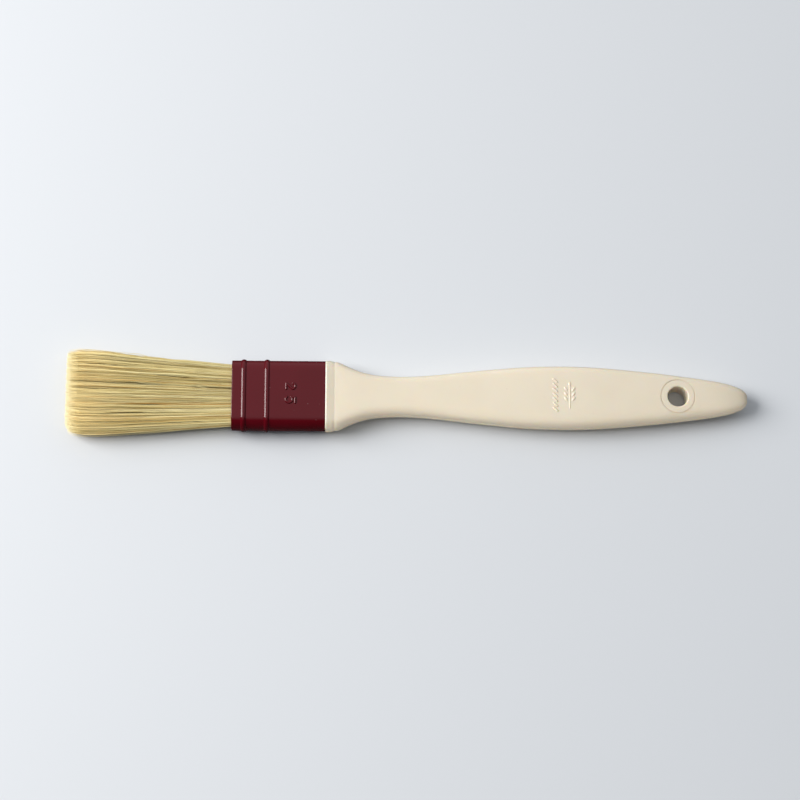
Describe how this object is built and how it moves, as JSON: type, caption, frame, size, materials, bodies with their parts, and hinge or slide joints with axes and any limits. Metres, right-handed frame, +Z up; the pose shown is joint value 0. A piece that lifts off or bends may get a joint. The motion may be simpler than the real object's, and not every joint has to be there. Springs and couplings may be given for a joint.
{
  "type": "pastry brush",
  "caption": "Flat pastry brush: natural bristles in a moulded flat-oval ferrule on a waisted plastic handle with a hanging hole.",
  "frame": {"origin": "under the middle of the brush's box, on the surface that the brush lies on", "axes": "+X from the bristle tips to the nose of the handle, +Y across the width, +Z up through the face with the size number"},
  "size_m": [0.2412, 0.0312, 0.0111],
  "materials": {
    "handle_plastic": "cream injection-moulded plastic, satin",
    "ferrule_plastic": "deep maroon moulded plastic, glossy",
    "strip_plastic": "plain moulded strip",
    "resin": "cured amber setting resin",
    "bristle": "natural straw-coloured bristle with paler split ends"
  },
  "bodies": {
    "holder": {"handle": "handle_plastic", "ferrule": "ferrule_plastic", "filler_strip": "strip_plastic", "setting_resin": "resin", "bristle_roots_upper": "bristle", "bristle_roots_lower": "bristle"},
    "bristle_head": {"bristles_upper": "bristle", "bristles_lower": "bristle"}
  },
  "joints": [
    {"name": "bristle_bend", "type": "hinge", "parent": "holder", "child": "bristle_head", "pos_m": [-0.066, 0, 0.00545], "axis": [0, 1, 0], "range_deg": [-30, 30], "stiffness_Nm_per_rad": 0.25}
  ]
}
